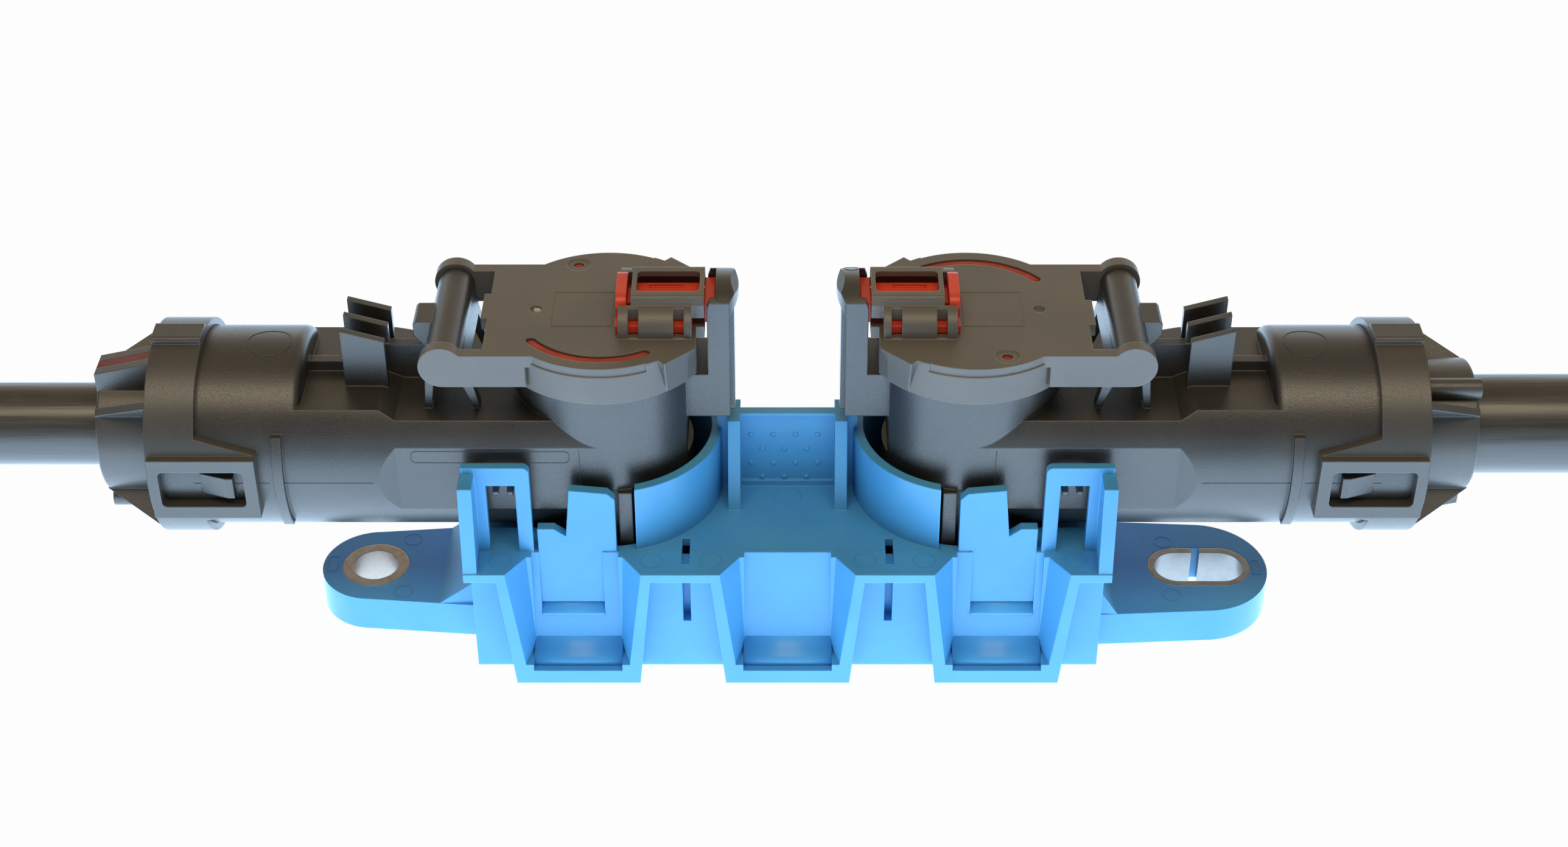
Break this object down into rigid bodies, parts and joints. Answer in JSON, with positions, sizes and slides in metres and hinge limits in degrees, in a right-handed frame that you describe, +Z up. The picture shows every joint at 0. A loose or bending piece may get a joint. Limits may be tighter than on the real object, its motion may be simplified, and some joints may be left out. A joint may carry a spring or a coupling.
{
  "type": "twin angled power cable connector with ring terminals",
  "caption": "Two hinged-lid angled power connectors on shielded cables, each screwing a ring terminal to a contact socket, held back to back in a carrier with screw ears.",
  "frame": {"origin": "under the middle of the carrier, on the plane that it stands on", "axes": "+X along the cables towards the slotted ear, +Y towards the rear, +Z up out of the carrier"},
  "size_m": [0.4094, 0.0458, 0.06],
  "materials": {
    "carrier_plastic": "fine moulded blue",
    "housing_plastic": "fine eroded black, glass filled",
    "lid_plastic": "satin black",
    "cap_plastic": "satin black",
    "red_plastic": "satin red",
    "red_seal": "matt red silicone",
    "cap_insert": "matt dark red",
    "cable_jacket": "satin black",
    "ferrule_metal": "stamped",
    "tinned_copper": "tin plated copper",
    "silver_contact": "silver plated copper",
    "screw_steel": "zinc plated",
    "sleeve_steel": "bright turned"
  },
  "bodies": {
    "carrier_and_housings": {"carrier": "carrier_plastic", "round_sleeve": "sleeve_steel", "slotted_sleeve": "sleeve_steel", "left_housing": "housing_plastic", "left_end_cap": "cap_plastic", "left_cap_insert": "cap_insert", "left_cable_seal": "red_seal", "left_shield_ferrule": "ferrule_metal", "left_cable": "cable_jacket", "left_cable_end": "cable_jacket", "left_ring_terminal": "tinned_copper", "left_terminal_screw": "screw_steel", "left_washer": "screw_steel", "left_contact_socket": "silver_contact", "left_interface_seal": "red_seal", "right_housing": "housing_plastic", "right_end_cap": "cap_plastic", "right_cap_insert": "cap_insert", "right_cable_seal": "red_seal", "right_shield_ferrule": "ferrule_metal", "right_cable": "cable_jacket", "right_cable_end": "cable_jacket", "right_ring_terminal": "tinned_copper", "right_terminal_screw": "screw_steel", "right_washer": "screw_steel", "right_contact_socket": "silver_contact", "right_interface_seal": "red_seal"},
    "left_lid_body": {"left_lid": "lid_plastic", "left_lid_seal": "red_seal"},
    "left_slide_body": {"left_locking_slide": "red_plastic"},
    "right_lid_body": {"right_lid": "lid_plastic", "right_lid_seal": "red_seal"},
    "right_slide_body": {"right_locking_slide": "red_plastic"}
  },
  "joints": [
    {"name": "left_lid_hinge", "type": "hinge", "parent": "carrier_and_housings", "child": "left_lid_body", "pos_m": [-0.0509, 0, 0.0523], "axis": [0, -1, 0], "range_deg": [0, 120]},
    {"name": "left_lock", "type": "slide", "parent": "left_lid_body", "child": "left_slide_body", "axis": [-1, 0, 0], "range_m": [0, 0.0035]},
    {"name": "right_lid_hinge", "type": "hinge", "parent": "carrier_and_housings", "child": "right_lid_body", "pos_m": [0.0509, 0, 0.0523], "axis": [0, 1, 0], "range_deg": [0, 120]},
    {"name": "right_lock", "type": "slide", "parent": "right_lid_body", "child": "right_slide_body", "axis": [1, 0, 0], "range_m": [0, 0.0035]}
  ]
}
